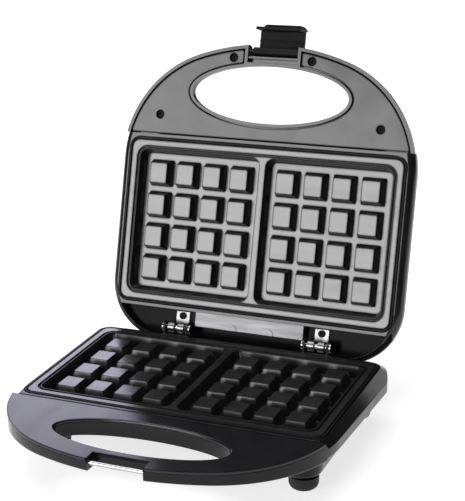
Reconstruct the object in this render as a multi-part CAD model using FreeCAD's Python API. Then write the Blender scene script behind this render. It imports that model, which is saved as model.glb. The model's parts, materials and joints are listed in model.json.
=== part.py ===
import FreeCAD, Part
import math
import os

# Waffle maker with a hinged lid, in millimetres.
# +X is to the right of someone facing the handles, +Y goes to the hinge, +Z is up.
# The origin is on the table, under the middle of the cooking plates.
# The lid is drawn closed and then opened about its hinge, which is how the object rests.

Vec = FreeCAD.Vector
AXIS_X = Vec(1, 0, 0)
AXIS_Y = Vec(0, 1, 0)
AXIS_Z = Vec(0, 0, 1)

# Heights and the lid's opening
rim_height = 45.0
plate_gap = 2.0
edge_drop = 0.5
foot_height = 10.0
open_angle = 107.2

# Cooking plates
plate_width = 224.0
plate_depth = 129.0
plate_corner = 8.0
plate_flange = 5.0
edge_bead = 1.2
edge_groove = 0.9
land_width = 6.6
groove_width = 1.6
groove_depth = 1.2
bead_width = 1.2
field_corner = 6.0
field_depth = 9.5
field_draft = 2.2
divider_width = 5.0
bowl_wall = 3.6
bowl_floor = 3.0
post_columns = 4
post_rows = 4
post_pitch_x = 22.5
post_pitch_y = 24.9
post_base_x = 18.3
post_base_y = 20.2
post_top_x = 14.1
post_top_y = 15.6
post_height = 9.0

# Casings
plate_clearance = 0.6
rim_width = 5.9
handle_reach = 76.8
side_arc_radius = 87.7
side_arc_lead = 16.2
lid_tail = 28.0
lid_tail_corner = 45.0
base_tail = 12.0
base_tail_corner = 20.0
wall = 2.6
rim_flange = 4.5
lip = 2.6
cross_wall = 2.4
lid_shoulder_round = 5.5
shoulder_width = 5.0
shoulder_front_depth = 4.8
shoulder_back_depth = 11.6
shoulder_corner = 9.5
shoulder_overrun = 0.3
tail_slope = 10.0
tail_drop = 4.5
lid_depth = 36.0
lid_slab_depth = 12.0
lid_handle_round = 8.5
lid_body_round = 4.0
dome_inset = 8.0
dome_lead = 4.0
dome_back_inset = 8.0
dome_corner = 24.0
dome_round = 14.0
base_front_depth = 9.2
base_back_depth = 21.4
base_handle_round = 1.5
base_body_round = 3.0
tub_inset = 7.0
tub_corner = 14.0
tub_taper = 6.0
tub_round = 5.0
recess_depth = 17.1
recess_length = 44.5
recess_margin = 1.1
rib_width = 12.0
rib_spread = 80.0
tail_lip = 4.0
deck_depth = 8.0

# Handle openings and covers
finger_width = 126.0
finger_length = 43.3
finger_setback = 16.7
finger_round = 7.5
finger_edge_round = 1.2
finger_wall = 4.4
cover_thickness = 2.5
cover_gap = 1.0
cover_sink = 0.6
notch_width = 40.0
base_notch_bar = 5.8
ledge_slot = 3.0
ledge_slot_depth = 6.0
ledge_width = 1.6
ledge_sink = 1.0

# Screws
screw_shank = 3.0
screw_head = 5.6
screw_head_height = 1.4
screw_cross = 3.4
screw_slot = 0.8
screw_slot_depth = 0.7
screw_length = 9.0
screw_boss = 7.4
screw_sink = 1.6
screw_cup_wall = 0.8
screw_cup_floor = 1.2
head_clearance = 0.4
shank_clearance = 0.2
thread_clearance = 0.02
front_screw_offset = 11.5
side_screw_inset = 29.2
side_screw_setback = 15.5

# Latch and the rod that it hooks
latch_side_clearance = 2.0
latch_pivot_setback = 5.4
latch_pivot_level = 8.0
latch_level = 18.5
latch_thickness = 3.0
latch_barrel = 7.0
latch_lip = 2.2
latch_tab = 3.0
thumb_width = 3.4
thumb_height = 7.0
latch_back = 7.0
latch_corner = 4.0
latch_rib_width = 1.0
latch_rib_height = 0.8
hook_clearance = 0.6
hook_overlap = 1.5
pin_diameter = 3.0
running_clearance = 0.05
rod_diameter = 3.0
rod_setback = 4.5
rod_drop = 5.0

# Hinge
hinge_setback = 16.6
hinge_drop = 0.6
hinge_spread = 114.5
hinge_pin = 4.0
hinge_pin_head = 7.0
hinge_pin_head_width = 1.5
bracket_sheet = 1.5
bracket_width = 20.0
bracket_low = 12.4
bracket_high = 4.4
ear_radius = 4.5
knuckle_diameter = 8.0
knuckle_length = 5.0
knuckle_spacing = 8.0
lid_bracket_width = 11.0
lid_bracket_front = 12.0
lid_bracket_back = 3.0
lid_arm_depth = 4.0
base_bracket_screw_spread = 10.0
stop_end = 0.7
stop_width = 8.0
stop_height = 4.0
stop_drop = 6.0
stop_spread = 60.0

# Wire guard behind the upper plate
guard_side_gap = 3.0
guard_depth = 11.0
guard_sheet = 1.0
guard_sink = 0.6
guard_mark_radius = 5.5
guard_mark_height = 0.5
guard_mark_spacing = 30.0

# Heating parts
heater_diameter = 6.5
heater_side_margin = 16.0
heater_end_margin = 6.7
heater_bend = 14.0
heater_gap = 24.0
heater_clearance = 0.2
stud_diameter = 8.0
stud_inset_x = 25.0
stud_inset_y = 26.0
reflector_inset_x = 10.2
reflector_inset_y = 8.0
reflector_sheet = 1.0
reflector_rim = 5.0
reflector_corner = 12.0
thermostat_diameter = 17.0
thermostat_height = 6.0
thermostat_tab = 4.0
thermostat_tab_width = 4.0
thermostat_tab_sheet = 0.8
fuse_diameter = 5.0
fuse_length = 18.0
fuse_saddle = 3.0
fuse_place_y = 30.0
terminal_length = 34.0
terminal_width = 16.0
terminal_height = 9.0
terminal_hole = 4.0
terminal_poles = 3
terminal_offset_x = 42.0
terminal_setback = 39.0

# Feet and cord gland
foot_diameter = 21.0
foot_bottom = 20.0
foot_round = 5.0
foot_screw_recess = 4.0
foot_inset_x = 24.9
front_foot_setback = 14.5
rear_foot_reach = 0.5
foot_boss_height = 6.0
gland_inset = 29.5
gland_height = 24.5
gland_bore = 7.0
gland_barrel = 9.4
gland_flange = 11.4
gland_flange_width = 2.5
gland_inside = 7.0

# Lamps on the lid
lens_diameter = 7.0
lens_flange = 10.0
lens_flange_height = 1.2
lens_rise = 1.6
lens_round = 1.2
lens_spacing = 24.0
lens_place_y = -18.0
lens_clearance = 0.1
lamp_board_length = 46.0
lamp_board_width = 16.0
lamp_board_sheet = 1.6

# Worked out from the sizes above
plate_front = -plate_depth / 2
plate_back = plate_depth / 2
case_half = plate_width / 2 + plate_clearance + rim_width
case_front = plate_front - handle_reach
side_arc_y = plate_front + side_arc_lead
front_run = side_arc_y - case_front
side_arc_x = case_half - side_arc_radius
front_arc_radius = (front_run**2 + side_arc_x**2 - side_arc_radius**2) / 2 / (front_run - side_arc_radius)
front_arc_y = case_front + front_arc_radius
base_back = plate_back + base_tail
lid_back = plate_back + lid_tail
base_edge = rim_height - edge_drop
lid_rim = rim_height + plate_gap
lid_edge = lid_rim + edge_drop
base_depth = base_edge - foot_height
cover_back = plate_front - plate_clearance - cross_wall
deck_front = plate_back + plate_clearance + cross_wall
finger_y = plate_front - finger_setback - finger_length / 2
finger_front = finger_y - finger_length / 2
notch_half = notch_width / 2
lid_notch_back = finger_front - lip
ledge_back = lid_notch_back - ledge_slot
ledge_front = ledge_back - ledge_width
base_notch_back = finger_front - base_notch_bar
cover_seat = cover_sink + screw_sink + screw_head_height
screw_bore = screw_head + 2 * head_clearance
screw_cup = screw_bore + 2 * screw_cup_wall
cover_screw_length = screw_length - cover_thickness - screw_sink
field_half_x = plate_width / 2 - land_width - groove_width - bead_width
field_half_y = plate_depth / 2 - land_width - groove_width - bead_width
bowl_half_x = field_half_x + bowl_wall
bowl_half_y = field_half_y + bowl_wall
bowl_bottom = field_depth + bowl_floor - edge_drop
stud_length = heater_diameter + 2 * heater_clearance
reflector_level = bowl_bottom + stud_length
reflector_half_x = bowl_half_x - reflector_inset_x
reflector_half_y = bowl_half_y - reflector_inset_y
heater_half_x = reflector_half_x - heater_side_margin
heater_half_y = reflector_half_y - heater_end_margin
hinge_y = plate_back + hinge_setback
hinge_z = rim_height - hinge_drop
deck_z = lid_edge + deck_depth
latch_half = notch_half - latch_side_clearance
latch_y = case_front + latch_pivot_setback
latch_z = lid_rim + latch_pivot_level
rod_y = case_front + rod_setback
rod_z = rim_height - rod_drop
tub_half = case_half - tub_inset
gland_x = tub_half - gland_inset
terminal_x = gland_x - terminal_offset_x
terminal_y = base_back - terminal_setback
foot_x = case_half - foot_inset_x
foot_rows = (plate_front + front_foot_setback, plate_back + rear_foot_reach)
reach = 4 * (case_half + handle_reach)


def box(x0, x1, y0, y1, z0, z1):
    return Part.makeBox(x1 - x0, y1 - y0, z1 - z0, Vec(x0, y0, z0))


def disc(x, y, z0, z1, diameter):
    return Part.makeCylinder(diameter / 2, z1 - z0, Vec(x, y, z0), AXIS_Z)


def bar_x(x0, x1, y, z, diameter):
    return Part.makeCylinder(diameter / 2, x1 - x0, Vec(x0, y, z), AXIS_X)


def bar_y(x, y0, y1, z, diameter):
    return Part.makeCylinder(diameter / 2, y1 - y0, Vec(x, y0, z), AXIS_Y)


def join(first, *others):
    return first.fuse(list(others)).removeSplitter()


def line(start, end):
    return Part.makeLine(start, end)


def arc(start, middle, end):
    return Part.Arc(start, middle, end).toShape()


def prism(wire, height):
    return Part.Face(wire).extrude(Vec(0, 0, height))


def rounded_rectangle(x0, x1, y0, y1, radius, z):
    """Rectangle with round corners in the plane z, run anticlockwise from its right side."""
    corners = ((x1, y1, 0), (x0, y1, 90), (x0, y0, 180), (x1, y0, 270))
    ends = []
    edges = []
    for x, y, turn in corners:
        centre_x = x - math.copysign(radius, x - (x0 + x1) / 2)
        centre_y = y - math.copysign(radius, y - (y0 + y1) / 2)
        points = []
        for angle in (turn, turn + 45, turn + 90):
            swing = math.radians(angle)
            points.append(Vec(centre_x + radius * math.cos(swing), centre_y + radius * math.sin(swing), z))
        edges.append(arc(*points))
        ends.append((points[0], points[2]))
    for index, (start, end) in enumerate(ends):
        following = ends[(index + 1) % len(ends)][0]
        edges.append(line(end, following))
    return Part.Wire(Part.__sortEdges__(edges))


def centred_rectangle(half_x, half_y, radius, z):
    return rounded_rectangle(-half_x, half_x, -half_y, half_y, radius, z)


def case_outline(inset, back, tail_corner, z):
    """Outline of a casing: straight sides, a handle of three arcs and two round back corners."""
    half = case_half - inset
    side_radius = side_arc_radius - inset
    front_radius = front_arc_radius - inset
    corner = tail_corner - inset
    edge_y = back - inset
    lean = math.atan2(side_arc_y - front_arc_y, side_arc_x)
    meet_x = front_radius * math.cos(lean)
    meet_y = front_arc_y + front_radius * math.sin(lean)
    bow_x = side_arc_x + side_radius * math.cos(lean / 2)
    bow_y = side_arc_y + side_radius * math.sin(lean / 2)
    slant = corner * math.sqrt(0.5)
    edges = [arc(Vec(-meet_x, meet_y, z), Vec(0, front_arc_y - front_radius, z), Vec(meet_x, meet_y, z))]
    edges.append(line(Vec(-half + corner, edge_y, z), Vec(half - corner, edge_y, z)))
    for side in (-1, 1):
        turn = Vec(side * half, edge_y - corner, z)
        tail = Vec(side * (half - corner), edge_y, z)
        tail_middle = Vec(side * (half - corner + slant), edge_y - corner + slant, z)
        start = Vec(side * half, side_arc_y, z)
        edges.append(arc(Vec(side * meet_x, meet_y, z), Vec(side * bow_x, bow_y, z), start))
        edges.append(line(start, turn))
        edges.append(arc(turn, tail_middle, tail))
    return Part.Wire(Part.__sortEdges__(edges))


def base_floor_at(y):
    """Depth of the base's sloping underside at y."""
    share = (y - case_front) / (base_back - case_front)
    return base_front_depth + share * (base_back_depth - base_front_depth)


def edges_at_level(solid, level):
    found = []
    for edge in solid.Edges:
        bounds = edge.BoundBox
        if abs(bounds.ZMin - level) < 1e-6 and abs(bounds.ZMax - level) < 1e-6:
            found.append(edge)
    return found


def off_the_cut(edges):
    """Edges that do not lie in the plane between a casing's handle and its body."""
    found = []
    for edge in edges:
        bounds = edge.BoundBox
        if bounds.YLength > 1e-4 or abs(bounds.YMin - cover_back) > 1e-4:
            found.append(edge)
    return found


def far_edges(solid):
    """Edges round the face away from the plate."""
    return off_the_cut([edge for edge in solid.Edges if edge.BoundBox.ZMin > 1e-6])


def handle_and_body(slab, handle_round, body_round):
    """The two parts of a slab, each with its own round at its far edges."""
    front = box(-reach, reach, -reach, cover_back, -reach, reach)
    handle = slab.common(front)
    body = slab.cut(front)
    return handle.makeFillet(handle_round, far_edges(handle)), body.makeFillet(body_round, far_edges(body))


def shoulder_depth_at(y):
    """Depth of the crease under the base's sloping shoulder at y."""
    share = (y - cover_back) / (base_back - cover_back)
    return shoulder_front_depth + share * (shoulder_back_depth - shoulder_front_depth)


def shoulder_outline(inset, share):
    """Outline of the base's shoulder at a share of its depth, on a plane that sinks to the back."""
    side = inset + shoulder_width * (1 - share)
    back = base_back - inset + tail_slope * (share * shoulder_back_depth / tail_drop - 1)
    corner = shoulder_corner + share * (base_tail_corner - shoulder_corner) - inset
    lean = FreeCAD.Matrix()
    lean.A32 = share * (shoulder_depth_at(1) - shoulder_depth_at(0))
    lean.A34 = share * shoulder_depth_at(0)
    return case_outline(side, back + side, corner + side, 0).transformGeometry(lean)


def beside_shoulder(inset):
    """Space outside the base's shoulder, which slopes at its sides and behind the plate."""
    over = shoulder_overrun
    wires = [shoulder_outline(inset, share) for share in (-over / 2, 1 + over)]
    inner = Part.makeLoft(wires, True, True)
    far = base_back + wall
    deep = 1 + over / 2
    places = [(cover_back, -wall), (far, -wall), (far, deep * shoulder_depth_at(far))]
    places += [(cover_back, deep * shoulder_depth_at(cover_back))]
    corners = [Vec(-reach, y, z) for y, z in places + places[:1]]
    return Part.Face(Part.makePolygon(corners)).extrude(Vec(2 * reach, 0, 0)).cut(inner)


def base_slab(inset):
    """The base's upper slab, deepest at its back."""
    front = case_front - wall
    back = base_back + wall
    places = [(front, 0), (back, 0)]
    places += [(back, base_floor_at(back) - inset), (front, base_floor_at(front) - inset)]
    corners = [Vec(-reach, y, z) for y, z in places + places[:1]]
    side_view = Part.Face(Part.makePolygon(corners)).extrude(Vec(2 * reach, 0, 0))
    return prism(case_outline(inset, base_back, base_tail_corner, 0), reach).common(side_view)


def front_recess(margin):
    """Space under the base's front between its feet, with a roof that slopes down to the back."""
    slope = (base_depth - recess_depth) / recess_length
    rise = margin * math.sqrt(1 + slope**2)
    half = foot_x - foot_diameter / 2 - recess_margin + margin
    front = cover_back - base_depth
    places = [(front, recess_depth - base_depth * slope - rise)]
    places += [(front + 3 * base_depth, recess_depth + 2 * base_depth * slope - rise)]
    places += [(front, recess_depth + 2 * base_depth * slope - rise)]
    corners = [Vec(-half, y, z) for y, z in places + places[:1]]
    return Part.Face(Part.makePolygon(corners)).extrude(Vec(2 * half, 0, 0))


def base_tub(inset):
    """The base's lower part, which tapers to the feet and is cut away under the handle."""
    wires = []
    end = base_depth - inset
    for taper, level in ((0, rim_flange), (tub_taper, end)):
        half = tub_half - inset - taper
        front = cover_back + inset + taper
        wires.append(rounded_rectangle(-half, half, front, base_back - inset, tub_corner - inset, level))
    tub = Part.makeLoft(wires, True, True)
    return tub.makeFillet(tub_round - inset, edges_at_level(tub, end)).cut(front_recess(inset))


def base_body():
    handle, body = handle_and_body(base_slab(0), base_handle_round, base_body_round)
    return join(handle, body.cut(beside_shoulder(0)), base_tub(0))


def lid_slab_parts(inset):
    slab = prism(case_outline(inset, lid_back, lid_tail_corner, 0), lid_slab_depth - inset)
    return handle_and_body(slab, lid_handle_round - inset, lid_body_round - inset)


def lid_dome(inset):
    """The lid's outer box, with round corners and round far edges."""
    half = case_half - dome_inset - inset
    front = cover_back - dome_lead + inset
    back = lid_back - dome_back_inset - inset
    end = lid_depth - inset
    wire = rounded_rectangle(-half, half, front, back, dome_corner - inset, rim_flange)
    body = prism(wire, end - rim_flange)
    return body.makeFillet(dome_round - inset, edges_at_level(body, end))


def lid_body():
    """The lid's outer form, with its finger opening, whose outer edge is round."""
    handle, body = lid_slab_parts(0)
    handle = handle.cut(finger_prism(0, reach))
    ring = [edge for edge in edges_at_level(handle, lid_slab_depth) if edge.Closed]
    handle = handle.makeFillet(finger_round, ring)
    body = body.makeFillet(lid_shoulder_round, off_the_cut(edges_at_level(body, 0)))
    return join(handle, body, lid_dome(0))


def finger_prism(margin, depth):
    curve = Part.Ellipse(Vec(0, finger_y, 0), finger_width / 2 + margin, finger_length / 2 + margin)
    return prism(Part.Wire(curve.toShape()), depth)


def notch_prism(notch_back, margin):
    half = notch_half + margin
    return box(-half, half, case_front - reach, notch_back + margin, -reach, reach)


def cover_form(margin, notch_back, z0, z1):
    """Handle cover's form: the casing's outline less its lip, the finger opening and the latch notch."""
    blank = prism(case_outline(lip + margin, base_back, base_tail_corner, z0), z1 - z0)
    front_part = box(-reach, reach, -reach, cover_back - margin, z0, z1)
    openings = [finger_prism(lip + margin, reach), notch_prism(notch_back, lip + margin)]
    return blank.common(front_part).cut(openings)


def screw_places():
    """Four places on a handle cover: two beside the notch and two near the sides."""
    front_x = notch_half + front_screw_offset
    edge_y = front_arc_y - math.sqrt(front_arc_radius**2 - front_x**2)
    hole_y = finger_y - finger_length / 2 * math.sqrt(1 - (2 * front_x / finger_width) ** 2)
    side_x = case_half - side_screw_inset
    places = []
    for side in (-1, 1):
        places.append((side * front_x, (edge_y + hole_y) / 2))
        places.append((side * side_x, cover_back - side_screw_setback))
    return places


def screw(x, y, z, length):
    """Pan-head screw with its head's seat at z, and its shank running to +Z."""
    top = z - screw_head_height
    head = disc(x, y, top, z, screw_head)
    head = head.makeFillet(screw_head_height / 3, edges_at_level(head, top))
    long_half = screw_cross / 2
    short_half = screw_slot / 2
    slots = []
    for half_x, half_y in ((long_half, short_half), (short_half, long_half)):
        slots.append(box(x - half_x, x + half_x, y - half_y, y + half_y, top, top + screw_slot_depth))
    return join(head.cut(slots), disc(x, y, z, z + length, screw_shank))


def screw_hole(x, y, z0, z1, clearance):
    return disc(x, y, z0, z1, screw_shank + 2 * clearance)


def rib_boxes():
    """Four ribs that carry a plate's flange."""
    ribs = []
    inside = bowl_half_x + plate_clearance
    for side in (-1, 1):
        for end in (-1, 1):
            middle = end * rib_spread / 2
            edges = sorted((side * inside, side * (case_half - wall / 2)))
            low = plate_flange - edge_drop
            ribs.append(box(*edges, middle - rib_width / 2, middle + rib_width / 2, low, reach))
    return ribs


def inner_walls(finger_margin, notch_back):
    """Walls that stay in a casing's hollow."""
    front_wall = box(-reach, reach, cover_back, plate_front - plate_clearance, -reach, bowl_bottom)
    return [front_wall, finger_prism(finger_margin, reach), notch_prism(notch_back, lip)] + rib_boxes()


def plate_well():
    half_x = plate_width / 2 + plate_clearance
    half_y = plate_depth / 2 + plate_clearance
    return prism(centred_rectangle(half_x, half_y, plate_corner + plate_clearance, 0), rim_flange)


def to_base(shape):
    """From the casing's own frame, with +Z away from the plate, to the base."""
    placed = shape.copy()
    placed.rotate(Vec(0, 0, 0), AXIS_Y, 180)
    placed.translate(Vec(0, 0, base_edge))
    return placed


def open_lid(shape):
    placed = shape.copy()
    placed.rotate(Vec(0, hinge_y, hinge_z), AXIS_X, -open_angle)
    return placed


def to_lid(shape):
    """From the casing's own frame to the open lid."""
    placed = shape.copy()
    placed.translate(Vec(0, 0, lid_edge))
    return open_lid(placed)


def save(node, *solids):
    if len(solids) == 1:
        shape = solids[0]
    else:
        shape = Part.makeCompound(list(solids))
    shape.exportStep("parts/" + node + ".step")


# Cooking plate, with its rim at Z = -edge_drop and its fields open to -Z

def field(side):
    """One waffle field as a drafted hollow beside the divider."""
    near = divider_width / 2
    wires = []
    for inset, depth in ((0, 0), (field_draft, field_depth)):
        edges = sorted((side * (near + inset), side * (field_half_x - inset)))
        radius = field_corner - inset
        wires.append(rounded_rectangle(*edges, -field_half_y + inset, field_half_y - inset, radius, depth))
    return Part.makeLoft(wires, True, True)


def post(x, y):
    """Tapered block that presses one pocket into the waffle."""
    wires = []
    for length_x, length_y, z in (
        (post_base_x, post_base_y, field_depth),
        (post_top_x, post_top_y, field_depth - post_height),
    ):
        corners = []
        for turn_x, turn_y in ((-1, -1), (1, -1), (1, 1), (-1, 1), (-1, -1)):
            corners.append(Vec(x + turn_x * length_x / 2, y + turn_y * length_y / 2, z))
        wires.append(Part.makePolygon(corners))
    return Part.makeLoft(wires, True, True)


def stud_places():
    places = []
    for side in (-1, 1):
        for end in (-1, 1):
            places.append((side * (heater_half_x - stud_inset_x), end * (heater_half_y - stud_inset_y)))
    return places


def ring_groove(outer, width):
    """Shallow groove all round the plate, from its outer half lengths and corner radius."""
    inner = [length - width for length in outer]
    ring = prism(centred_rectangle(*outer, 0), groove_depth)
    return ring.cut(prism(centred_rectangle(*inner, 0), groove_depth))


def cooking_plate():
    flange = prism(centred_rectangle(plate_width / 2, plate_depth / 2, plate_corner, 0), plate_flange)
    bowl = prism(centred_rectangle(bowl_half_x, bowl_half_y, field_corner, 0), field_depth + bowl_floor)
    body = join(flange, bowl)
    bead = (field_half_x + bead_width, field_half_y + bead_width, field_corner + bead_width)
    rim = (plate_width / 2 - edge_bead, plate_depth / 2 - edge_bead, plate_corner - edge_bead)
    grooves = [ring_groove([length + groove_width for length in bead], groove_width)]
    grooves.append(ring_groove(rim, edge_groove))
    body = body.cut(grooves + [field(-1), field(1)])
    field_middle = (divider_width / 2 + field_half_x) / 2
    posts = []
    for side in (-1, 1):
        for column in range(post_columns):
            x = side * field_middle + (column - (post_columns - 1) / 2) * post_pitch_x
            for row in range(post_rows):
                posts.append(post(x, (row - (post_rows - 1) / 2) * post_pitch_y))
    studs = []
    for x, y in stud_places():
        stud = disc(x, y, field_depth + bowl_floor, field_depth + bowl_floor + stud_length, stud_diameter)
        bottom = field_depth + bowl_floor
        studs.append(stud.cut(screw_hole(x, y, bottom, bottom + stud_length, thread_clearance)))
    body = join(body, *posts, *studs)
    body.translate(Vec(0, 0, -edge_drop))
    return body


def heater():
    """Bent tubular element that lies against the plate's back, with both ends at the hinge side."""
    level = bowl_bottom + heater_clearance + heater_diameter / 2
    half_x = heater_half_x
    half_y = heater_half_y
    slant = heater_bend * (1 - math.sqrt(0.5))
    edges = [line(Vec(-half_x + heater_bend, -half_y, level), Vec(half_x - heater_bend, -half_y, level))]
    for side in (-1, 1):
        outer = side * half_x
        inner = side * (half_x - heater_bend)
        for end in (-1, 1):
            far = end * half_y
            near = end * (half_y - heater_bend)
            middle = Vec(outer - side * slant, far - end * slant, level)
            edges.append(arc(Vec(inner, far, level), middle, Vec(outer, near, level)))
        edges.append(line(Vec(outer, heater_bend - half_y, level), Vec(outer, half_y - heater_bend, level)))
        edges.append(line(Vec(inner, half_y, level), Vec(side * heater_gap / 2, half_y, level)))
    path = Part.Wire(Part.__sortEdges__(edges))
    first = path.OrderedVertexes[0].Point
    ring = Part.Wire(Part.makeCircle(heater_diameter / 2, first, AXIS_X))
    return path.makePipeShell([ring], True, False)


def reflector():
    """Shallow sheet tray that throws the heat back to the plate."""
    top = reflector_level + reflector_sheet - reflector_rim
    outer = (reflector_half_x, reflector_half_y, reflector_corner)
    inner = [length - reflector_sheet for length in outer]
    tray = prism(centred_rectangle(*outer, top), reflector_rim)
    inside = prism(centred_rectangle(*inner, top), reflector_rim - reflector_sheet)
    holes = []
    for x, y in stud_places():
        holes.append(screw_hole(x, y, top, reflector_level + reflector_sheet, shank_clearance))
    return tray.cut([inside] + holes)


def reflector_screws():
    screws = []
    for x, y in stud_places():
        fixing = screw(x, y, 0, stud_length)
        fixing.rotate(Vec(x, y, 0), AXIS_X, 180)
        fixing.translate(Vec(0, 0, reflector_level + reflector_sheet))
        screws.append(fixing)
    return screws


# Base

def base_shell():
    rim = box(-reach, reach, cover_back, reach, -reach, rim_flange)
    inside = join(base_slab(wall).cut(beside_shoulder(wall)), base_tub(wall))
    hollow = inside.cut([rim] + inner_walls(lip, base_notch_back))
    handle_top = box(-reach, reach, -reach, cover_back, -reach, cover_thickness)
    openings = [hollow, plate_well(), handle_top, finger_prism(0, reach), notch_prism(base_notch_back, 0)]
    casing = base_body().cut(openings).removeSplitter()
    floor = base_depth - wall
    additions = []
    holes = []
    for row in foot_rows:
        for side in (-1, 1):
            low = floor - foot_boss_height
            additions.append(disc(side * foot_x, row, low, floor, screw_boss))
            holes.append(screw_hole(side * foot_x, row, low, base_depth, thread_clearance))
    for side in (-1, 1):
        middle = side * stop_spread / 2
        half = stop_width / 2
        low = stop_drop + stop_height
        front = base_back - wall / 2
        additions.append(box(middle - half, middle + half, front, hinge_y + stop_end, stop_drop, low))
    casing = join(casing, *additions)
    for x, y in screw_places():
        holes.append(screw_hole(x, y, 0, base_back_depth, shank_clearance))
    rod_end = notch_half + lip
    rod_level = base_edge - rod_z
    holes.append(bar_x(-rod_end, rod_end, rod_y, rod_level, rod_diameter + 2 * thread_clearance))
    gland_level = base_edge - gland_height
    holes.append(bar_y(-gland_x, base_back - 2 * wall, base_back + wall, gland_level, gland_barrel))
    for x in base_bracket_screw_xs():
        level = base_edge - bracket_screw_level()
        holes.append(bar_y(x, base_back - wall, base_back, level, screw_shank + 2 * thread_clearance))
    return casing.cut(holes)


def base_handle_cover():
    """Plate over the whole base handle, with a pillar to the handle's floor for each screw."""
    blank = prism(case_outline(0, base_back, base_tail_corner, 0), cover_thickness)
    body = blank.common(box(-reach, reach, -reach, cover_back - cover_gap, 0, cover_thickness))
    body = body.cut([finger_prism(0, reach), notch_prism(base_notch_back, 0)])
    ring = [edge for edge in edges_at_level(body, 0) if edge.Closed]
    body = body.makeFillet(finger_edge_round, ring)
    floor = base_slab(wall)
    for x, y in screw_places():
        pillar = disc(x, y, cover_thickness, reach, screw_boss).common(floor)
        body = join(body, pillar)
        body = body.cut(screw_hole(x, y, cover_thickness, reach, thread_clearance))
    return body


def base_cover_screws():
    slope = (base_back_depth - base_front_depth) / (base_back - case_front)
    screws = []
    for x, y in screw_places():
        seat = base_floor_at(y) + screw_head / 2 * slope
        fixing = screw(x, y, 0, seat - cover_thickness)
        fixing.rotate(Vec(x, y, 0), AXIS_X, 180)
        fixing.translate(Vec(0, 0, seat))
        screws.append(fixing)
    return screws


def catch_rod():
    end = notch_half + lip
    return bar_x(-end, end, rod_y, rod_z, rod_diameter)


def foot(x, y):
    cone = Part.makeCone(foot_bottom / 2, foot_diameter / 2, foot_height, Vec(x, y, 0), AXIS_Z)
    cone = cone.makeFillet(foot_round, edges_at_level(cone, 0))
    recess = disc(x, y, 0, foot_screw_recess, screw_bore)
    hole = screw_hole(x, y, foot_screw_recess, foot_height, shank_clearance)
    return cone.cut([recess, hole])


def feet():
    solids = []
    screws = []
    for y in foot_rows:
        for side in (-1, 1):
            solids.append(foot(side * foot_x, y))
            screws.append(screw(side * foot_x, y, foot_screw_recess, screw_length))
    return solids, screws


def cord_gland():
    front = base_back - wall - gland_inside
    back = base_back + gland_flange_width
    barrel = bar_y(gland_x, front, back, gland_height, gland_barrel)
    flange = bar_y(gland_x, base_back, back, gland_height, gland_flange)
    bore = bar_y(gland_x, front, back, gland_height, gland_bore)
    body = join(barrel, flange)
    return body.cut(bore)


def thermostat():
    """Disc thermostat with two flat tabs, on the middle of the lower reflector."""
    seat = reflector_level + reflector_sheet
    top = seat + thermostat_height
    body = disc(0, 0, seat, top, thermostat_diameter)
    tabs = []
    for side in (-1, 1):
        middle = side * thermostat_diameter / 4
        half = thermostat_tab_width / 2
        sheet = thermostat_tab_sheet / 2
        tabs.append(box(middle - sheet, middle + sheet, -half, half, top, top + thermostat_tab))
    return join(body, *tabs)


def thermal_fuse():
    """Fuse on a small saddle, on the lower reflector beside the thermostat."""
    seat = reflector_level + reflector_sheet
    level = seat + fuse_diameter / 2
    half = fuse_length / 2
    barrel = bar_x(-half, half, fuse_place_y, level, fuse_diameter)
    saddle = box(
        -fuse_saddle, fuse_saddle, fuse_place_y - fuse_diameter, fuse_place_y + fuse_diameter, seat, level
    )
    return join(barrel, saddle)


def terminal_block():
    low = foot_height + wall
    half_x = terminal_length / 2
    half_y = terminal_width / 2
    front = terminal_y - half_y
    back = terminal_y + half_y
    body = box(terminal_x - half_x, terminal_x + half_x, front, back, low, low + terminal_height)
    holes = []
    pole_pitch = terminal_length / terminal_poles
    for pole in range(terminal_poles):
        x = terminal_x + (pole - (terminal_poles - 1) / 2) * pole_pitch
        holes.append(bar_y(x, front, back, low + terminal_height / 2, terminal_hole))
    return body.cut(holes)


# Hinge

def bracket_screw_level():
    return hinge_z - (bracket_low + bracket_high) / 2


def base_bracket_screw_xs():
    xs = []
    for side in (-1, 1):
        for step in (-1, 1):
            xs.append(side * hinge_spread / 2 + step * base_bracket_screw_spread / 2)
    return xs


def base_hinge_bracket(side):
    """Sheet bracket on the base's back wall, with two ears for the hinge pin."""
    middle = side * hinge_spread / 2
    half = bracket_width / 2
    front = base_back
    back = base_back + bracket_sheet
    body = box(middle - half, middle + half, front, back, hinge_z - bracket_low, hinge_z - bracket_high)
    ears = []
    for step in (-1, 1):
        inside, outside = sorted((middle + step * half, middle + step * (half - bracket_sheet)))
        cheek = box(inside, outside, front, back + bracket_sheet, hinge_z - bracket_low, hinge_z)
        arm = box(inside, outside, front, hinge_y, hinge_z - ear_radius, hinge_z + ear_radius)
        ears += [cheek, arm, bar_x(inside, outside, hinge_y, hinge_z, 2 * ear_radius)]
    body = join(body, *ears)
    holes = [bar_x(middle - half, middle + half, hinge_y, hinge_z, hinge_pin + 2 * thread_clearance)]
    for x in base_bracket_screw_xs():
        holes.append(bar_y(x, front, back, bracket_screw_level(), screw_shank + 2 * shank_clearance))
    return body.cut(holes)


def hinge_pin_solid(side):
    middle = side * hinge_spread / 2
    half = bracket_width / 2
    pin = bar_x(middle - half, middle + half, hinge_y, hinge_z, hinge_pin)
    heads = []
    for start in (middle - half - hinge_pin_head_width, middle + half):
        heads.append(bar_x(start, start + hinge_pin_head_width, hinge_y, hinge_z, hinge_pin_head))
    return join(pin, *heads)


def base_bracket_screws():
    screws = []
    for x in base_bracket_screw_xs():
        fixing = screw(0, 0, 0, wall + bracket_sheet)
        fixing.rotate(Vec(0, 0, 0), AXIS_X, 90)
        fixing.translate(Vec(x, base_back + bracket_sheet, bracket_screw_level()))
        screws.append(fixing)
    return screws


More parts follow.
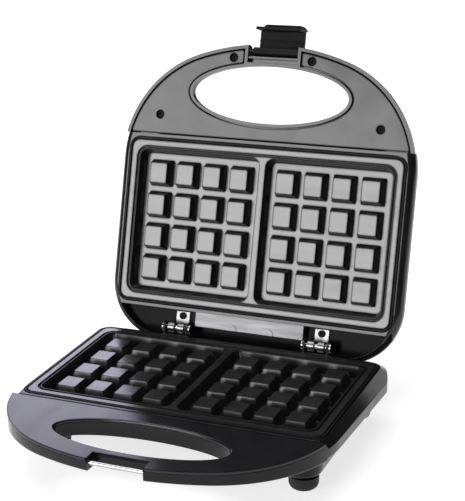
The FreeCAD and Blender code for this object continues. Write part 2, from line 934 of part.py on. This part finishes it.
def lid_bracket_screw_y():
    return hinge_y - lid_bracket_front + screw_head / 2 + head_clearance


def lid_hinge_bracket(side):
    """Sheet bracket on the lid's deck, with two arms that end in knuckles on the hinge pin."""
    middle = side * hinge_spread / 2
    half = lid_bracket_width / 2
    seat = deck_z - bracket_sheet
    front = hinge_y - lid_bracket_front
    body = box(middle - half, middle + half, front, hinge_y + lid_bracket_back, seat, deck_z)
    half_sheet = bracket_sheet / 2
    half_arm = lid_arm_depth / 2
    half_knuckle = knuckle_length / 2
    arms = []
    for step in (-1, 1):
        x = middle + step * knuckle_spacing / 2
        arm = box(-half_sheet, half_sheet, -half_arm, half_arm, hinge_z, seat)
        arm.translate(Vec(x, hinge_y, 0))
        arms.append(arm)
        arms.append(bar_x(x - half_knuckle, x + half_knuckle, hinge_y, hinge_z, knuckle_diameter))
    body = join(body, *arms)
    end = knuckle_spacing / 2 + half_knuckle
    bore = bar_x(middle - end, middle + end, hinge_y, hinge_z, hinge_pin + 2 * running_clearance)
    hole = screw_hole(middle, lid_bracket_screw_y(), seat, deck_z, shank_clearance)
    return open_lid(body.cut([bore, hole]))


def lid_bracket_screws():
    screws = []
    for side in (-1, 1):
        middle = side * hinge_spread / 2
        fixing = screw(middle, lid_bracket_screw_y(), deck_z - bracket_sheet, wall + bracket_sheet)
        screws.append(open_lid(fixing))
    return screws


# Lid

def lid_notch():
    """Space for the latch, with a ledge and a blind slot at its back."""
    clear = box(-notch_half, notch_half, -reach, ledge_front, -reach, reach)
    ledge = box(-notch_half, notch_half, ledge_front, ledge_back, -reach, ledge_sink)
    slot = box(-notch_half, notch_half, ledge_back, lid_notch_back, -reach, ledge_slot_depth)
    return [clear, ledge, slot]


def lid_shell():
    outer = lid_body()
    rim = box(-reach, reach, -reach, reach, -reach, rim_flange)
    deck = box(-reach, reach, deck_front, reach, deck_depth, deck_depth + wall)
    back_wall = box(-reach, reach, plate_back + plate_clearance, deck_front, -reach, deck_depth + wall)
    inside = join(*lid_slab_parts(wall), lid_dome(wall))
    hollow = inside.cut([rim, deck, back_wall] + inner_walls(finger_wall, lid_notch_back))
    pocket = prism(case_outline(tail_lip, lid_back, lid_tail_corner, 0), rim_flange)
    pocket = pocket.common(box(-reach, reach, deck_front, reach, 0, rim_flange))
    openings = [hollow, plate_well(), cover_form(0, lid_notch_back, 0, rim_flange), pocket] + lid_notch()
    casing = outer.cut(openings).removeSplitter()
    bosses = []
    holes = []
    for x, y in screw_places():
        low = cover_seat + screw_cup_floor
        bosses.append(disc(x, y, low, lid_slab_depth - wall / 2, screw_boss).common(outer))
        holes.append(disc(x, y, 0, low, screw_cup + 2 * head_clearance))
        holes.append(screw_hole(x, y, low, cover_seat + cover_screw_length, thread_clearance))
    casing = join(casing, *bosses)
    pin_end = notch_half + lip
    pin_level = latch_z - lid_edge
    holes.append(bar_x(-pin_end, pin_end, latch_y, pin_level, pin_diameter + 2 * thread_clearance))
    screw_y = lid_bracket_screw_y()
    lens_hole = lens_diameter + 2 * lens_clearance
    for side in (-1, 1):
        hinge_x = side * hinge_spread / 2
        holes.append(screw_hole(hinge_x, screw_y, deck_depth, deck_depth + wall, thread_clearance))
        lens_x = side * lens_spacing / 2
        holes.append(disc(lens_x, lens_place_y, lid_depth - 2 * wall, lid_depth, lens_hole))
    return casing.cut(holes)


def lid_handle_cover():
    """Plate over the lid's handle, with a cup for each screw's head."""
    body = cover_form(cover_gap, lid_notch_back, cover_sink, cover_sink + cover_thickness)
    end = cover_seat + screw_cup_floor
    cups = []
    holes = []
    for x, y in screw_places():
        cups.append(disc(x, y, cover_sink, end, screw_cup))
        holes.append(disc(x, y, cover_sink, cover_seat, screw_bore))
        holes.append(screw_hole(x, y, cover_seat, end, shank_clearance))
    return join(body, *cups).cut(holes)


def lid_cover_screws():
    screws = []
    for x, y in screw_places():
        screws.append(screw(x, y, cover_seat, cover_screw_length))
    return screws


def wire_guard():
    """Sheet strip behind the upper plate that covers the leads, with a leg at each end."""
    half = (hinge_spread - bracket_width) / 2 - guard_side_gap
    low = lid_edge + guard_sink
    top = low + guard_sheet
    back = deck_front + guard_depth
    strip = box(-half, half, deck_front, back, low, top)
    additions = []
    for side in (-1, 1):
        inside, outside = sorted((side * half, side * (half - guard_sheet)))
        additions.append(box(inside, outside, deck_front, back, low, deck_z))
        mark_x = side * guard_mark_spacing / 2
        mark = disc(mark_x, back, low - guard_mark_height, top, 2 * guard_mark_radius)
        additions.append(mark.common(box(-half, half, deck_front, back, 0, top)))
    return open_lid(join(strip, *additions))


def lens(side):
    """Lamp lens that stands through the top of the lid."""
    x = side * lens_spacing / 2
    inside = lid_depth - wall
    top = lid_depth + lens_rise
    stem = disc(x, lens_place_y, inside, top, lens_diameter)
    stem = stem.makeFillet(lens_round, edges_at_level(stem, top))
    return join(stem, disc(x, lens_place_y, inside - lens_flange_height, inside, lens_flange))


def lamp_board():
    top = lid_depth - wall - lens_flange_height
    half_x = lamp_board_length / 2
    half_y = lamp_board_width / 2
    return box(-half_x, half_x, lens_place_y - half_y, lens_place_y + half_y, top - lamp_board_sheet, top)


# Latch

def latch_pin():
    end = notch_half + lip
    return open_lid(bar_x(-end, end, latch_y, latch_z, pin_diameter))


def latch():
    """Clip on the lid's handle: a barrel, an arm, a hook that goes under the rod and a thumb lip."""
    arm_low = lid_rim + latch_level
    arm_high = arm_low + latch_thickness
    hook_reach = latch_pivot_level + plate_gap + rod_drop + rod_diameter / 2 + hook_clearance
    hook_back = latch_y - hook_reach
    hook_front = hook_back - latch_lip
    tip = hook_front - latch_tab
    rear = latch_y + latch_back
    hook_end = latch_z + latch_y - rod_y - hook_overlap
    half = latch_half
    cut = latch_corner
    outline = [(half, rear), (-half, rear), (-half, tip + cut), (-half + cut, tip), (half - cut, tip)]
    outline += [(half, tip + cut), (half, rear)]
    arm_wire = Part.makePolygon([Vec(x, y, arm_low) for x, y in outline])
    arm = prism(arm_wire, latch_thickness)
    thumb = prism(arm_wire, latch_thickness + thumb_height)
    thumb = thumb.common(box(-half, half, tip, tip + thumb_width, arm_low, arm_high + thumb_height))
    hook = box(-half, half, hook_front, hook_back, hook_end, arm_high)
    barrel = bar_x(-half, half, latch_y, latch_z, latch_barrel)
    web = box(-half, half, latch_y - latch_barrel / 2, latch_y + latch_barrel / 2, latch_z, arm_high)
    rib_y = (latch_y - latch_barrel / 2 + hook_back) / 2
    rib = box(-half, half, rib_y, rib_y + latch_rib_width, arm_low - latch_rib_height, arm_high)
    body = join(arm, thumb, hook, barrel, web, rib)
    bore = bar_x(-half, half, latch_y, latch_z, pin_diameter + 2 * running_clearance)
    return open_lid(body.cut(bore))


os.makedirs("parts", exist_ok=True)
plate = cooking_plate()
element = heater()
tray = reflector()
foot_solids, foot_screw_solids = feet()

save("base_shell", to_base(base_shell()))
save("base_handle_cover", to_base(base_handle_cover()))
save("base_cover_screws", *[to_base(fixing) for fixing in base_cover_screws()])
save("lower_plate", to_base(plate))
save("lower_heater", to_base(element))
save("lower_reflector", to_base(tray))
save("lower_reflector_screws", *[to_base(fixing) for fixing in reflector_screws()])
save("thermostat", to_base(thermostat()))
save("thermal_fuse", to_base(thermal_fuse()))
save("terminal_block", terminal_block())
save("cord_gland", cord_gland())
save("catch_rod", catch_rod())
save("feet", *foot_solids)
save("foot_screws", *foot_screw_solids)
save("base_bracket_screws", *base_bracket_screws())
for name, direction in (("left", -1), ("right", 1)):
    save(name + "_base_hinge_bracket", base_hinge_bracket(direction))
    save(name + "_hinge_pin", hinge_pin_solid(direction))
    save(name + "_lid_hinge_bracket", lid_hinge_bracket(direction))
save("lid_shell", to_lid(lid_shell()))
save("lid_handle_cover", to_lid(lid_handle_cover()))
save("lid_cover_screws", *[to_lid(fixing) for fixing in lid_cover_screws()])
save("upper_plate", to_lid(plate))
save("upper_heater", to_lid(element))
save("upper_reflector", to_lid(tray))
save("upper_reflector_screws", *[to_lid(fixing) for fixing in reflector_screws()])
save("lid_bracket_screws", *lid_bracket_screws())
save("wire_guard", wire_guard())
save("power_lens", to_lid(lens(-1)))
save("ready_lens", to_lid(lens(1)))
save("lamp_board", to_lid(lamp_board()))
save("latch_pin", latch_pin())
save("latch", latch())
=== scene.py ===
import json
import math

import bpy
from mathutils import Matrix, Vector

# Waffle maker with a hinged lid, open on a pale floor. All lengths are in metres.

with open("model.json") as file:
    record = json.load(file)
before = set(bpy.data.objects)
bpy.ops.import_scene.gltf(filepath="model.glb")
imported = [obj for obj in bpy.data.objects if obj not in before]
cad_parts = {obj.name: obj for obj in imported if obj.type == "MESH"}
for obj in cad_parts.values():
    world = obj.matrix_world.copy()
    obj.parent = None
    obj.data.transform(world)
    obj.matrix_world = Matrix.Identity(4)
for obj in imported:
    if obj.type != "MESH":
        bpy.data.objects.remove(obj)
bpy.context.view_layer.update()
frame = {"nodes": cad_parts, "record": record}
nodes = frame["nodes"]

# Picture and camera
IMAGE_WIDTH = 465
IMAGE_HEIGHT = 501
FOCAL_PIXELS = 1421.77
CENTRE_X = 202.52
CENTRE_Y = 256.62
SENSOR = 36.0
CAMERA_PLACE = (0.3831, -0.8468, 0.4560)
CAMERA_AZIMUTH = 24.19
CAMERA_ELEVATION = 19.02
CAMERA_ROLL = -1.89
CLIP_NEAR = 0.01
CLIP_FAR = 100

# Floor and lights
FLOOR_HALF = 40.0
FLOOR_ALBEDO = 0.5
FLOOR_ROUGHNESS = 0.9
FLOOR_GLOW_NEAR = 0.72
FLOOR_GLOW_FAR = 1.0
FLOOR_GLOW_REACH = 0.8
WORLD_STRENGTH = 0.08
LIGHTS = {
    "top_light": {
        "place": (-0.2, 0.1, 1.6),
        "target": (0, 0, 0),
        "width": 1.6,
        "height": 1.6,
        "radiance": 2.6,
        "colour": (1, 1, 1),
    },
    "front_light": {
        "place": (-0.8, -1.6, 0.56),
        "target": (0, 0.1, 0.15),
        "width": 1.3,
        "height": 1.0,
        "radiance": 6.5,
        "colour": (1, 1, 1),
    },
    "back_light": {
        "place": (-1.2, 1.6, 0.75),
        "target": (0, 0, 0.05),
        "width": 0.9,
        "height": 0.8,
        "radiance": 2.9,
        "colour": (0.84, 0.82, 1),
    },
}

# Materials: the range of noise that is used, and how open a face is where its gloss starts and is full;
# less open faces, in inner corners and at outer edges, get their gloss cut down as painted shade
NOISE_LOW = 0.3
NOISE_HIGH = 0.7
EDGE_SAMPLES = 6
OPENNESS_SAMPLES = 8
CORNER_SHADE_OPENNESS = 0.6
EDGE_SHADE_OPENNESS = 0.55
UNSHADED_OPENNESS = 0.92
SHADED_SPECULAR = 0.02

# Pocket round the hinges, in the closed lid, where the lid's gloss is cut down as painted shade
POCKET_MIDDLE = (0, 0.0772, 0.0521)
POCKET_HALF = (0.1125, 0.0118, 0.0041)
POCKET_SHADE_SPECULAR = 0.03
LID_SPECULAR = 0.5


def add_camera():
    """Camera at the photograph's angle, with the shift that its framing needs."""
    azimuth = math.radians(CAMERA_AZIMUTH)
    elevation = math.radians(CAMERA_ELEVATION)
    roll = math.radians(CAMERA_ROLL)
    back = Vector((
        math.sin(azimuth) * math.cos(elevation),
        -math.cos(azimuth) * math.cos(elevation),
        math.sin(elevation),
    ))
    level = Vector((math.cos(azimuth), math.sin(azimuth), 0))
    upright = back.cross(level)
    right = level * math.cos(roll) + upright * math.sin(roll)
    up = back.cross(right)
    data = bpy.data.cameras.new("camera")
    data.sensor_width = SENSOR
    data.lens = FOCAL_PIXELS * SENSOR / IMAGE_HEIGHT
    data.shift_x = (IMAGE_WIDTH / 2 - CENTRE_X) / IMAGE_HEIGHT
    data.shift_y = (CENTRE_Y - IMAGE_HEIGHT / 2) / IMAGE_HEIGHT
    data.clip_start = CLIP_NEAR
    data.clip_end = CLIP_FAR
    camera = bpy.data.objects.new("camera", data)
    columns = (right, up, back, Vector(CAMERA_PLACE))
    rows = [[column[row] for column in columns] for row in range(3)]
    camera.matrix_world = Matrix(rows + [[0, 0, 0, 1]])
    bpy.context.scene.collection.objects.link(camera)
    bpy.context.scene.camera = camera


def area_light(name, place, target, width, height, radiance, colour):
    """Soft light whose face has the given radiance, turned to its target."""
    data = bpy.data.lights.new(name, "AREA")
    data.shape = "RECTANGLE"
    data.size = width
    data.size_y = height
    data.energy = radiance * width * height * math.pi
    data.color = colour
    light = bpy.data.objects.new(name, data)
    light.location = place
    light.rotation_mode = "QUATERNION"
    light.rotation_quaternion = (Vector(target) - Vector(place)).to_track_quat("-Z", "Y")
    light.visible_camera = False
    bpy.context.scene.collection.objects.link(light)


def add_world():
    """Dim even light from all round."""
    world = bpy.data.worlds.new("studio")
    world.use_nodes = True
    background = world.node_tree.nodes["Background"]
    background.inputs["Color"].default_value = (1, 1, 1, 1)
    background.inputs["Strength"].default_value = WORLD_STRENGTH
    bpy.context.scene.world = world


class Paint:
    """A procedural material: one shader, with noise for its colour, its gloss and its fine relief."""

    def __init__(self, name, metallic=0.0, specular=0.5):
        self.material = bpy.data.materials.new(name)
        self.material.use_nodes = True
        tree = self.material.node_tree
        self.nodes = tree.nodes
        self.links = tree.links
        self.shader = tree.nodes["Principled BSDF"]
        self.shader.inputs["Metallic"].default_value = metallic
        self.shader.inputs["Specular IOR Level"].default_value = specular
        self.place = tree.nodes.new("ShaderNodeTexCoord").outputs["Object"]

    def noise(self, scale, detail=3.0, stretch=(1, 1, 1)):
        """Noise with about this many grains per metre, drawn out along an axis by its stretch."""
        mapping = self.nodes.new("ShaderNodeMapping")
        mapping.inputs["Scale"].default_value = [1 / length for length in stretch]
        self.links.new(self.place, mapping.inputs["Vector"])
        texture = self.nodes.new("ShaderNodeTexNoise")
        texture.inputs["Scale"].default_value = scale
        texture.inputs["Detail"].default_value = detail
        self.links.new(mapping.outputs["Vector"], texture.inputs["Vector"])
        return texture.outputs["Fac"]

    def remap(self, source, low, high, to_low, to_high):
        """A value from one range, held to it and mapped to another."""
        mapped = self.nodes.new("ShaderNodeMapRange")
        mapped.inputs["From Min"].default_value = low
        mapped.inputs["From Max"].default_value = high
        mapped.inputs["To Min"].default_value = to_low
        mapped.inputs["To Max"].default_value = to_high
        self.links.new(source, mapped.inputs["Value"])
        return mapped.outputs["Result"]

    def spread(self, source, low, high):
        """The noise's middle range, mapped to low and high."""
        return self.remap(source, NOISE_LOW, NOISE_HIGH, low, high)

    def colour(self, source, dark, light):
        """Base colour between two tones."""
        mix = self.nodes.new("ShaderNodeMix")
        mix.data_type = "RGBA"
        mix.inputs["A"].default_value = (*dark, 1)
        mix.inputs["B"].default_value = (*light, 1)
        self.links.new(self.spread(source, 0, 1), mix.inputs["Factor"])
        self.links.new(mix.outputs["Result"], self.shader.inputs["Base Color"])

    def roughness(self, source, low, high):
        """Roughness between two levels."""
        self.links.new(self.spread(source, low, high), self.shader.inputs["Roughness"])

    def specular(self, level):
        """Gloss that varies over the piece."""
        self.links.new(level, self.shader.inputs["Specular IOR Level"])

    def relief(self, source, height, edge_round):
        """Fine bump, over edges that look broken by the given radius."""
        edge = self.nodes.new("ShaderNodeBevel")
        edge.samples = EDGE_SAMPLES
        edge.inputs["Radius"].default_value = edge_round
        bump = self.nodes.new("ShaderNodeBump")
        bump.inputs["Distance"].default_value = height
        self.links.new(source, bump.inputs["Height"])
        self.links.new(edge.outputs["Normal"], bump.inputs["Normal"])
        self.links.new(bump.outputs["Normal"], self.shader.inputs["Normal"])

    def product(self, first, second):
        times = self.nodes.new("ShaderNodeMath")
        times.operation = "MULTIPLY"
        self.links.new(first, times.inputs[0])
        self.links.new(second, times.inputs[1])
        return times.outputs["Value"]

    def openness(self, reach, inside):
        """1 on open faces, and less within this reach of an inner corner or, from inside, an outer edge."""
        hollow = self.nodes.new("ShaderNodeAmbientOcclusion")
        hollow.samples = OPENNESS_SAMPLES
        hollow.inside = inside
        hollow.inputs["Distance"].default_value = reach
        return hollow.outputs["AO"]

    def painted_edge_shade(self, corner_reach, edge_reach, specular):
        """Painted shade: gloss cut down in inner corners and along outer edges, found by ambient occlusion
        from outside and from inside.
        """
        corners = self.remap(self.openness(corner_reach, False), CORNER_SHADE_OPENNESS, UNSHADED_OPENNESS, 0, 1)
        edges = self.remap(self.openness(edge_reach, True), EDGE_SHADE_OPENNESS, UNSHADED_OPENNESS, 0, 1)
        self.specular(self.remap(self.product(corners, edges), 0, 1, SHADED_SPECULAR, specular))

    def inside_box(self, turn, pivot, middle, half):
        """1 inside a box and 0 outside it, after a turn about the X axis at a pivot."""
        mapping = self.nodes.new("ShaderNodeMapping")
        mapping.inputs["Rotation"].default_value = (turn, 0, 0)
        shift = Vector(pivot) - Matrix.Rotation(turn, 3, "X") @ Vector(pivot)
        mapping.inputs["Location"].default_value = shift
        self.links.new(self.place, mapping.inputs["Vector"])
        axes = self.nodes.new("ShaderNodeSeparateXYZ")
        self.links.new(mapping.outputs["Vector"], axes.inputs["Vector"])
        near = []
        for axis in range(3):
            test = self.nodes.new("ShaderNodeMath")
            test.operation = "COMPARE"
            test.inputs[1].default_value = middle[axis]
            test.inputs[2].default_value = half[axis]
            self.links.new(axes.outputs[axis], test.inputs[0])
            near.append(test.outputs["Value"])
        return self.product(self.product(near[0], near[1]), near[2])


def glossy_black(name, specular):
    """Paint of both casings."""
    paint = Paint(name, specular=specular)
    paint.colour(paint.noise(45), (0.0055, 0.0055, 0.0065), (0.009, 0.009, 0.010))
    paint.roughness(paint.noise(70, 5), 0.13, 0.2)
    paint.relief(paint.noise(900, 2), 0.000012, 0.0004)
    return paint


def case_plastic(name):
    """Glossy black moulding, with its gloss at half the lid's as painted shade, so that it renders darker.
    """
    # painted shade: this copy of the casing paint gets less gloss than the lid's copy
    return glossy_black(name, 0.25).material


def lid_plastic(name):
    """Glossy black moulding, with its gloss cut down in the pocket round the hinges as painted shade."""
    paint = glossy_black(name, LID_SPECULAR)
    hinge = [joint for joint in frame["record"]["behaviour"]["joints"] if joint["name"] == "lid_hinge"][0]
    closing = math.radians(hinge["range_deg"][1])
    # painted shade: inside this box, which turns with the lid, the gloss is cut down so the pocket renders
    # black
    pocket = paint.inside_box(closing, hinge["pos_m"], POCKET_MIDDLE, POCKET_HALF)
    paint.specular(paint.remap(pocket, 0, 1, LID_SPECULAR, POCKET_SHADE_SPECULAR))
    return paint.material


def cover_plastic(name):
    """Polished black moulding with a few fine rubs, and painted shade in its inner corners and along its
    edges.
    """
    paint = Paint(name)
    paint.colour(paint.noise(30), (0.006, 0.006, 0.0075), (0.010, 0.010, 0.012))
    paint.roughness(paint.noise(60, 6, (1, 4, 1)), 0.16, 0.24)
    paint.relief(paint.noise(700, 2), 0.000012, 0.0003)
    # painted shade: gloss cut down in inner corners and along outer edges
    paint.painted_edge_shade(0.0015, 0.0014, 0.5)
    return paint.material


def latch_plastic(name):
    """Satin black moulding, duller where thumbs press it."""
    paint = Paint(name, specular=0.1)
    paint.colour(paint.noise(60), (0.005, 0.005, 0.006), (0.009, 0.009, 0.010))
    paint.roughness(paint.noise(90, 5), 0.42, 0.55)
    paint.relief(paint.noise(1100, 3), 0.00002, 0.0004)
    return paint.material


def coated_plate(name):
    """Dark non-stick coating, with faint wiping streaks, and painted shade in its inner corners and along
    its edges.
    """
    paint = Paint(name)
    paint.colour(paint.noise(80, 5), (0.010, 0.010, 0.010), (0.018, 0.018, 0.018))
    paint.roughness(paint.noise(120, 6, (8, 1, 1)), 0.17, 0.25)
    paint.relief(paint.noise(1500, 3), 0.00002, 0.0007)
    # painted shade: gloss cut down in inner corners and along outer edges
    paint.painted_edge_shade(0.0022, 0.0018, 0.95)
    return paint.material


def heater_tube(name):
    """Steel tube dulled by heat, browner in patches."""
    paint = Paint(name, metallic=1.0)
    paint.colour(paint.noise(60, 4), (0.16, 0.14, 0.12), (0.32, 0.31, 0.30))
    paint.roughness(paint.noise(200, 4), 0.4, 0.6)
    paint.relief(paint.noise(1200, 3), 0.00003, 0.0002)
    return paint.material


def sheet_steel(name):
    """Pressed sheet with a rolling grain across it."""
    paint = Paint(name, metallic=1.0)
    paint.colour(paint.noise(90, 4, (6, 1, 1)), (0.24, 0.24, 0.25), (0.32, 0.32, 0.33))
    paint.roughness(paint.noise(260, 4, (10, 1, 1)), 0.5, 0.62)
    paint.relief(paint.noise(700, 3, (12, 1, 1)), 0.00002, 0.0003)
    return paint.material


def dark_screw(name):
    """Blackened steel, rubbed a little."""
    paint = Paint(name, specular=0.06)
    paint.colour(paint.noise(500, 4), (0.004, 0.004, 0.004), (0.012, 0.012, 0.013))
    paint.roughness(paint.noise(700, 3), 0.35, 0.5)
    paint.relief(paint.noise(2500, 2), 0.00002, 0.0003)
    return paint.material


def hinge_steel(name):
    """Zinc-plated sheet with a soft mottle."""
    paint = Paint(name, metallic=1.0)
    paint.colour(paint.noise(220, 5), (0.15, 0.15, 0.155), (0.26, 0.26, 0.26))
    paint.roughness(paint.noise(300, 4), 0.24, 0.36)
    paint.relief(paint.noise(1500, 3), 0.00002, 0.0003)
    return paint.material


def bright_rod(name):
    """Polished plating with hair-fine turning lines."""
    paint = Paint(name, metallic=1.0)
    paint.colour(paint.noise(150, 3), (0.38, 0.38, 0.39), (0.48, 0.48, 0.49))
    paint.roughness(paint.noise(500, 3, (1, 8, 8)), 0.08, 0.16)
    paint.relief(paint.noise(2500, 2, (1, 10, 10)), 0.000006, 0.0003)
    return paint.material


def foot_rubber(name):
    """Matt rubber with a little dust."""
    paint = Paint(name, specular=0.4)
    paint.colour(paint.noise(250, 5), (0.007, 0.007, 0.007), (0.016, 0.016, 0.016))
    paint.roughness(paint.noise(300, 4), 0.5, 0.68)
    paint.relief(paint.noise(1800, 4), 0.00005, 0.0006)
    return paint.material


def inner_plastic(name):
    """Pale heat-resistant moulding."""
    paint = Paint(name)
    paint.colour(paint.noise(120, 4), (0.46, 0.43, 0.38), (0.58, 0.56, 0.5))
    paint.roughness(paint.noise(200, 3), 0.45, 0.6)
    paint.relief(paint.noise(1400, 3), 0.00003, 0.0003)
    return paint.material


def lens(name, dark, light):
    """Clear coloured moulding over a dim lamp."""
    paint = Paint(name)
    paint.colour(paint.noise(300, 3), dark, light)
    paint.roughness(paint.noise(400, 3), 0.08, 0.16)
    paint.relief(paint.noise(1500, 2), 0.00001, 0.0003)
    paint.shader.inputs["Coat Weight"].default_value = 0.6
    return paint.material


def red_lens(name):
    return lens(name, (0.35, 0.008, 0.006), (0.6, 0.03, 0.02))


def green_lens(name):
    return lens(name, (0.008, 0.25, 0.03), (0.03, 0.45, 0.07))


PAINTS = (
    case_plastic,
    cover_plastic,
    coated_plate,
    heater_tube,
    sheet_steel,
    dark_screw,
    hinge_steel,
    bright_rod,
    foot_rubber,
    inner_plastic,
    red_lens,
    green_lens,
)


def paint_nodes():
    """Every piece gets the material of its slot in the record; the latch and the lid have their own."""
    materials = {paint.__name__: paint(paint.__name__) for paint in PAINTS}
    for part in frame["record"]["subparts"]:
        for place in nodes[part["node"]].material_slots:
            place.material = materials[part["material_slot"]]
    for name, paint in (("latch", latch_plastic), ("lid_shell", lid_plastic)):
        for place in nodes[name].material_slots:
            place.material = paint(paint.__name__)


def add_floor():
    """Pale floor that keeps the shadow; what the camera or a mirror sees of it is lifted to white,
    a little less close to the object."""
    mesh = bpy.data.meshes.new("floor")
    half = FLOOR_HALF
    corners = [(-half, -half, 0), (half, -half, 0), (half, half, 0), (-half, half, 0)]
    mesh.from_pydata(corners, [], [(0, 1, 2, 3)])
    floor = bpy.data.objects.new("floor", mesh)
    bpy.context.scene.collection.objects.link(floor)
    material = bpy.data.materials.new("floor")
    material.use_nodes = True
    tree = material.node_tree
    shader = tree.nodes["Principled BSDF"]
    shader.inputs["Base Color"].default_value = (FLOOR_ALBEDO, FLOOR_ALBEDO, FLOOR_ALBEDO, 1)
    shader.inputs["Roughness"].default_value = FLOOR_ROUGHNESS
    shader.inputs["Specular IOR Level"].default_value = 0.0
    shader.inputs["Emission Color"].default_value = (1, 1, 1, 1)
    path = tree.nodes.new("ShaderNodeLightPath")
    total = path.outputs["Is Camera Ray"]
    for kind in ("Is Glossy Ray", "Is Transmission Ray"):
        either = tree.nodes.new("ShaderNodeMath")
        either.operation = "MAXIMUM"
        tree.links.new(total, either.inputs[0])
        tree.links.new(path.outputs[kind], either.inputs[1])
        total = either.outputs["Value"]
    mapping = tree.nodes.new("ShaderNodeMapping")
    mapping.inputs["Scale"].default_value = [1 / FLOOR_GLOW_REACH] * 3
    tree.links.new(tree.nodes.new("ShaderNodeTexCoord").outputs["Object"], mapping.inputs["Vector"])
    nearness = tree.nodes.new("ShaderNodeTexGradient")
    nearness.gradient_type = "SPHERICAL"
    tree.links.new(mapping.outputs["Vector"], nearness.inputs["Vector"])
    level = tree.nodes.new("ShaderNodeMapRange")
    level.inputs["To Min"].default_value = FLOOR_GLOW_FAR
    level.inputs["To Max"].default_value = FLOOR_GLOW_NEAR
    tree.links.new(nearness.outputs["Fac"], level.inputs["Value"])
    glow = tree.nodes.new("ShaderNodeMath")
    glow.operation = "MULTIPLY"
    tree.links.new(total, glow.inputs[0])
    tree.links.new(level.outputs["Result"], glow.inputs[1])
    tree.links.new(glow.outputs["Value"], shader.inputs["Emission Strength"])
    mesh.materials.append(material)


bpy.context.scene.view_settings.view_transform = "Standard"
add_camera()
add_world()
add_floor()
paint_nodes()
for light_name, values in LIGHTS.items():
    area_light(light_name, **values)
